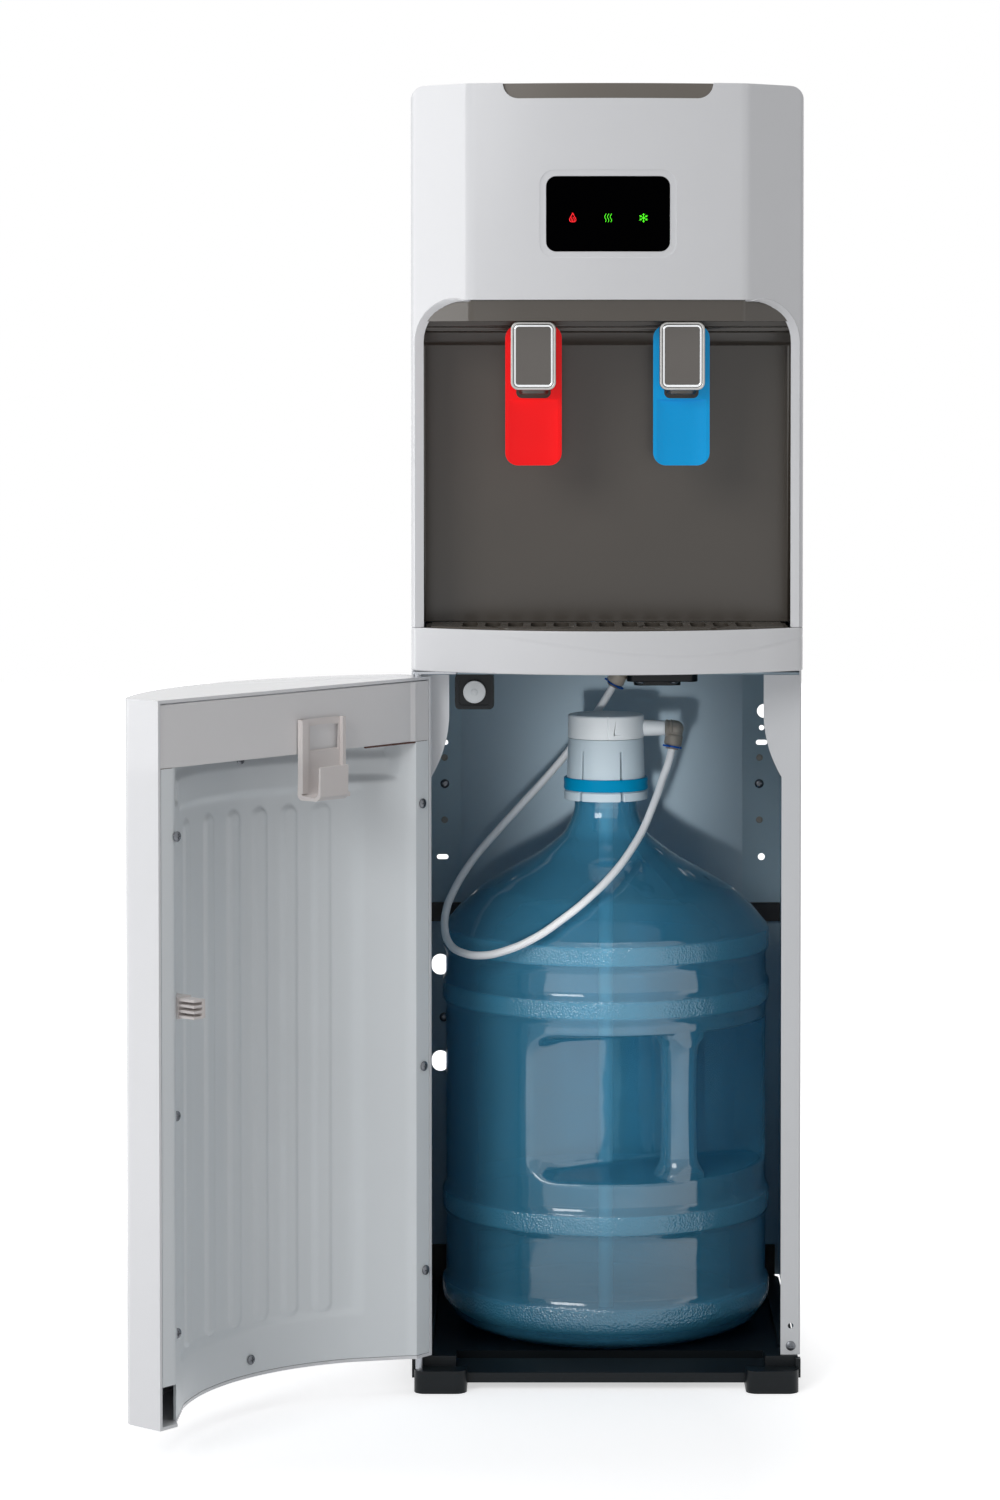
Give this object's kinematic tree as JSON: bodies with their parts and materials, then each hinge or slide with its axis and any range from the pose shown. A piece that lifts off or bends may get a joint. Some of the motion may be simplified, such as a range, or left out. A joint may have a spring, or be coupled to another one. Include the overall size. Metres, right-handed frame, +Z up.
{
  "type": "bottom load water cooler",
  "caption": "Floor-standing water cooler with hot and cold levers over a drip tray, and a hinged door over a bottle compartment with a suction probe.",
  "frame": {"origin": "on the floor under the bottle's axis line, on the middle rib of the base", "axes": "+Z up, +X to the user's right, the front faces -Y"},
  "size_m": [0.5142, 0.567, 1.0345],
  "materials": {
    "white_gloss": "glossy white moulding",
    "bay_plastic": "satin grey-brown moulding",
    "painted_steel": "light grey painted sheet steel",
    "inner_steel": "grey-green painted sheet steel",
    "black_plastic": "black moulding",
    "black_metal": "black enamelled steel",
    "hinge_steel": "zinc plated steel",
    "display_glass": "glossy black window with three lit symbols",
    "board": "green circuit board",
    "chrome_trim": "polished frame round a satin plate",
    "red_plastic": "glossy red moulding",
    "blue_plastic": "glossy blue moulding",
    "green_plastic": "glossy green moulding",
    "foam": "moulded foam",
    "stainless": "brushed stainless steel",
    "copper": "copper tube",
    "fitting_beige": "beige-grey acetal",
    "tube_white": "milky polyethylene tube",
    "white_plastic": "white moulding",
    "frosted_plastic": "frosted translucent moulding",
    "ring_blue": "teal-blue moulding",
    "bottle_blue": "clear blue polycarbonate",
    "liner_grey": "light grey vacuum-formed sheet"
  },
  "bodies": {
    "cabinet": {"base_tray": "black_plastic", "left_side_panel": "painted_steel", "right_side_panel": "painted_steel", "back_panel": "inner_steel", "rear_crossbar": "black_metal", "compartment_shelf": "inner_steel", "upper_hinge": "hinge_steel", "lower_hinge_pin": "hinge_steel", "apron": "white_gloss", "head_fascia": "white_gloss", "top_cover": "bay_plastic", "bay_liner": "bay_plastic", "display_window": "display_glass", "control_board": "board", "hot_tap_body": "bay_plastic", "hot_tap_cap": "chrome_trim", "cold_tap_body": "bay_plastic", "cold_tap_cap": "chrome_trim", "tank_platform": "hinge_steel", "cold_tank_insulation": "foam", "cold_tank": "stainless", "evaporator_coil": "copper", "hot_tank": "stainless", "heater_band": "stainless", "compressor": "black_metal", "condenser": "black_metal", "water_pump": "black_plastic", "pump_inlet_fitting": "fitting_beige", "supply_line": "tube_white", "cold_water_line": "tube_white", "hot_water_line": "tube_white", "heating_switch_frame": "black_plastic", "cooling_switch_frame": "black_plastic", "power_inlet": "black_plastic", "drain_cap": "white_plastic", "door_switch_housing": "black_plastic", "bottle": "bottle_blue", "probe_lid": "white_plastic", "probe_collar": "frosted_plastic", "probe_clamp_ring": "ring_blue", "probe_elbow": "fitting_beige", "dip_tube": "tube_white", "probe_hose": "tube_white"},
    "door": {"door_skin": "white_gloss", "door_liner": "liner_grey", "door_band": "liner_grey", "probe_hook": "white_plastic", "door_catch": "white_plastic"},
    "hot_lever": {"hot_tap_lever": "red_plastic"},
    "cold_lever": {"cold_tap_lever": "blue_plastic"},
    "tray": {"drip_tray": "bay_plastic"},
    "grille": {"drip_grille": "bay_plastic"},
    "plunger": {"door_switch_plunger": "white_plastic"},
    "heating_rocker": {"heating_switch_rocker": "red_plastic"},
    "cooling_rocker": {"cooling_switch_rocker": "green_plastic"}
  },
  "joints": [
    {"name": "door_hinge", "type": "hinge", "parent": "cabinet", "child": "door", "pos_m": [-0.149, -0.163, 0.3], "axis": [0, 0, 1], "range_deg": [0, 129.3]},
    {"name": "hot_lever_pivot", "type": "hinge", "parent": "cabinet", "child": "hot_lever", "pos_m": [-0.0577, -0.2, 0.843], "axis": [1, 0, 0], "range_deg": [0, 10], "stiffness_Nm_per_rad": 0.5, "springref_deg": -8.59},
    {"name": "cold_lever_pivot", "type": "hinge", "parent": "cabinet", "child": "cold_lever", "pos_m": [0.0577, -0.2, 0.843], "axis": [1, 0, 0], "range_deg": [0, 10], "stiffness_Nm_per_rad": 0.5, "springref_deg": -8.59},
    {"name": "tray_lift", "type": "slide", "parent": "cabinet", "child": "tray", "axis": [0, 0, 1], "range_m": [0, 0.05]},
    {"name": "grille_lift", "type": "slide", "parent": "tray", "child": "grille", "axis": [0, 0, 1], "range_m": [0, 0.05]},
    {"name": "plunger_press", "type": "slide", "parent": "cabinet", "child": "plunger", "axis": [0, 1, 0], "range_m": [0, 0.004], "stiffness_N_per_m": 200, "springref_m": -0.003},
    {"name": "heating_switch_rock", "type": "hinge", "parent": "cabinet", "child": "heating_rocker", "pos_m": [-0.028, 0.139, 0.96], "axis": [1, 0, 0], "range_deg": [-12, 0]},
    {"name": "cooling_switch_rock", "type": "hinge", "parent": "cabinet", "child": "cooling_rocker", "pos_m": [0.028, 0.139, 0.96], "axis": [1, 0, 0], "range_deg": [-12, 0]}
  ]
}
